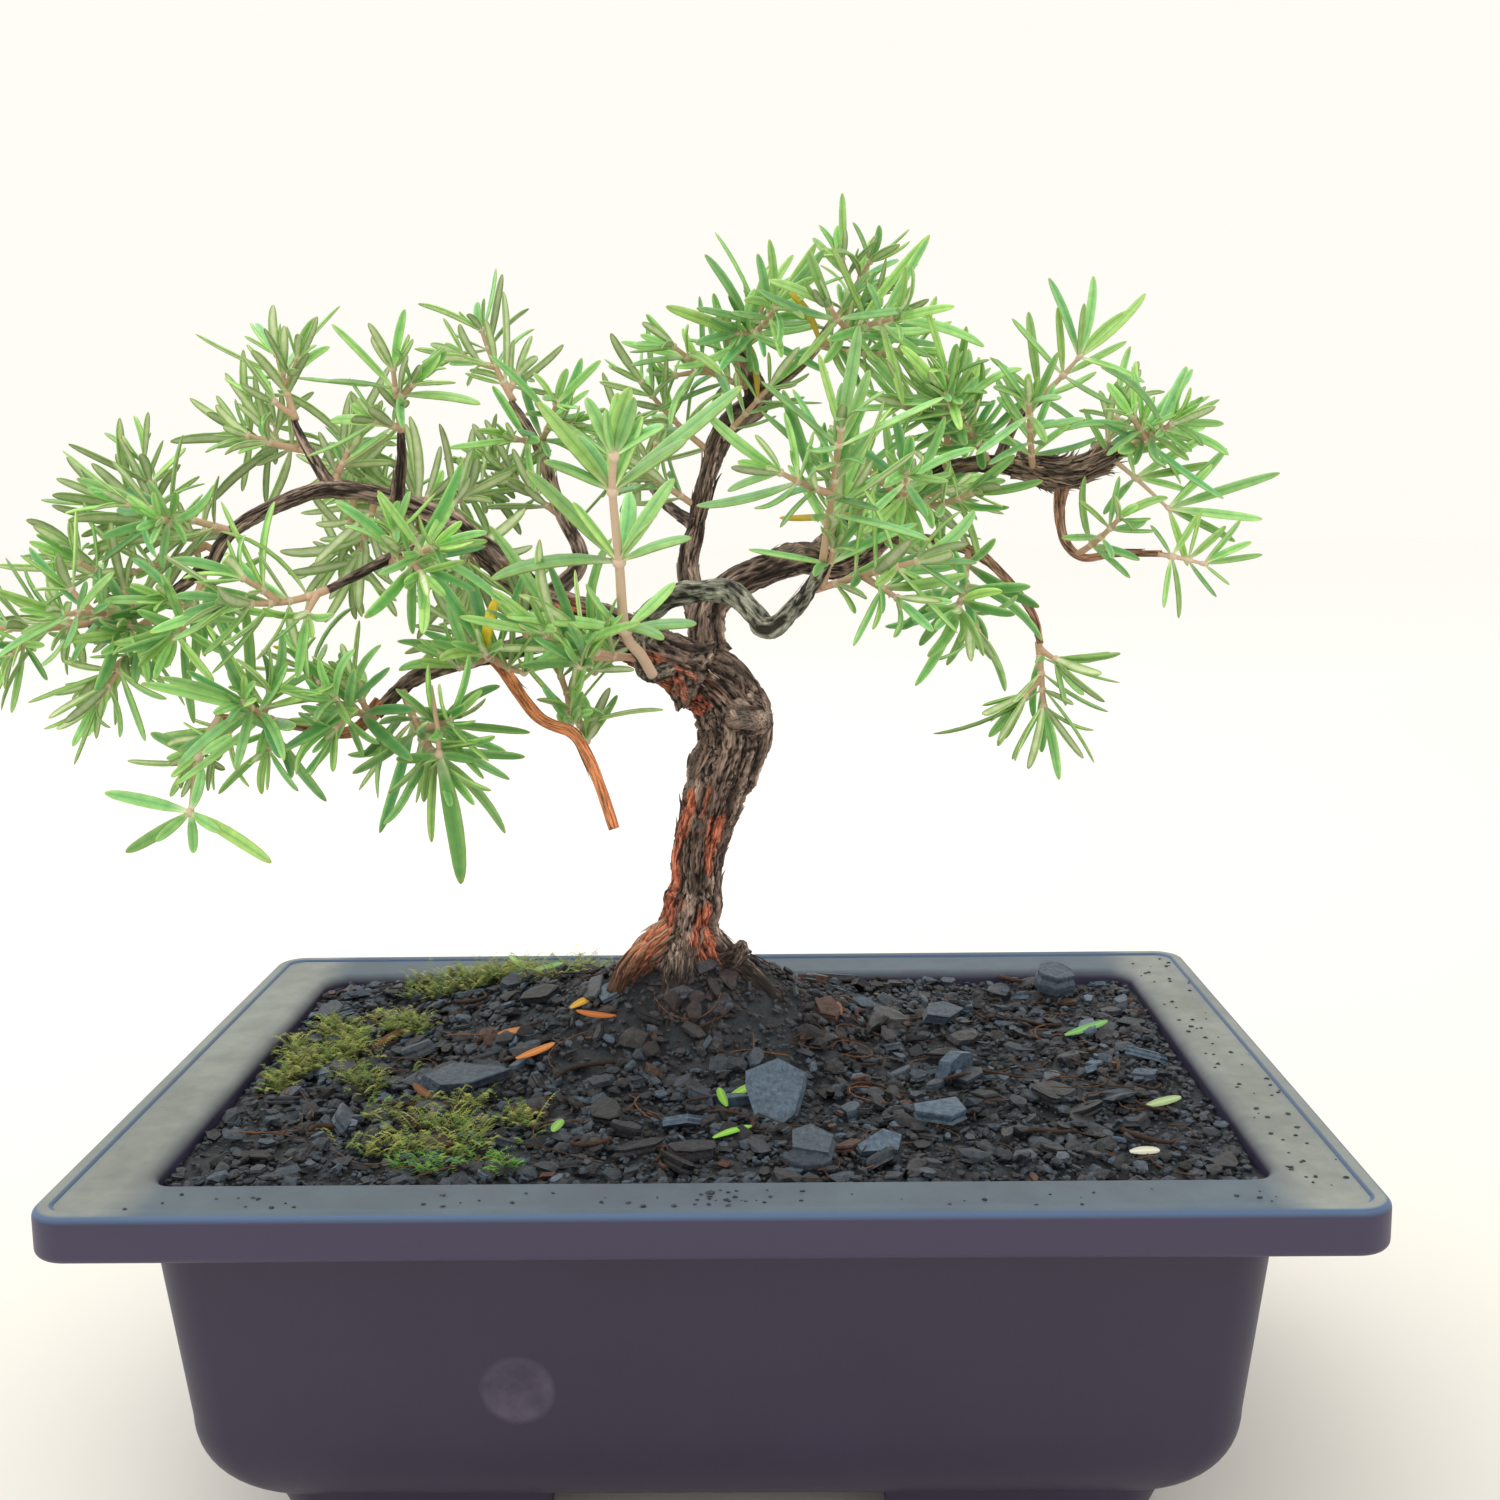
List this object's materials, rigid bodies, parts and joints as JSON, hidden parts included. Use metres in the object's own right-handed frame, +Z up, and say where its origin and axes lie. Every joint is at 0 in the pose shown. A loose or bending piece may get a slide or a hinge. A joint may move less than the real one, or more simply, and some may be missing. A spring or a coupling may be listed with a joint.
{
  "type": "rosemary bonsai in a pot",
  "caption": "Small rosemary bonsai with a bent, fibrous trunk and wide, flat canopy of narrow leaves, in a footed rectangular plastic pot of dark bark soil.",
  "frame": {"origin": "middle of the whole object's bounding box, on the surface that the pot's feet stand on", "axes": "+X along the pot's length and the canopy's widest spread, +Y from the pot's front to its back, +Z up"},
  "size_m": [0.3164, 0.2054, 0.2998],
  "materials": {
    "pot": "moulded matte plastic, fine grain",
    "drain_mesh": "plain black plastic mesh",
    "soil": "dark, damp bark compost",
    "bark": "fibrous, flaking bark with orange inner bark",
    "leaves": "leathery narrow leaves, pale beneath",
    "moss": "feathery moss",
    "bark_chips": "weathered, damp bark",
    "fallen_leaves": "dry leaf"
  },
  "bodies": {
    "root": {"bark_chip_1": "bark_chips", "bark_chip_2": "bark_chips", "bark_chip_3": "bark_chips", "bark_chip_4": "bark_chips", "bark_chip_5": "bark_chips", "bark_chip_6": "bark_chips", "drain_mesh_left": "drain_mesh", "drain_mesh_right": "drain_mesh", "fallen_leaf_1": "fallen_leaves", "fallen_leaf_2": "fallen_leaves", "fallen_leaf_3": "fallen_leaves", "fallen_leaf_4": "fallen_leaves", "fallen_leaf_5": "fallen_leaves", "moss_1": "moss", "moss_2": "moss", "moss_3": "moss", "moss_4": "moss", "pot": "pot", "shoot_01": "leaves", "shoot_02": "leaves", "shoot_03": "leaves", "shoot_04": "leaves", "shoot_05": "leaves", "shoot_06": "leaves", "shoot_07": "leaves", "shoot_08": "leaves", "shoot_09": "leaves", "shoot_10": "leaves", "shoot_11": "leaves", "shoot_12": "leaves", "shoot_13": "leaves", "shoot_14": "leaves", "shoot_15": "leaves", "shoot_16": "leaves", "shoot_17": "leaves", "shoot_18": "leaves", "shoot_19": "leaves", "shoot_20": "leaves", "shoot_21": "leaves", "shoot_22": "leaves", "shoot_23": "leaves", "shoot_24": "leaves", "shoot_25": "leaves", "shoot_26": "leaves", "shoot_27": "leaves", "shoot_28": "leaves", "shoot_29": "leaves", "shoot_30": "leaves", "shoot_31": "leaves", "shoot_32": "leaves", "shoot_33": "leaves", "shoot_34": "leaves", "shoot_35": "leaves", "shoot_36": "leaves", "shoot_37": "leaves", "shoot_38": "leaves", "shoot_39": "leaves", "shoot_40": "leaves", "soil": "soil", "tree_wood": "bark"}
  },
  "joints": []
}
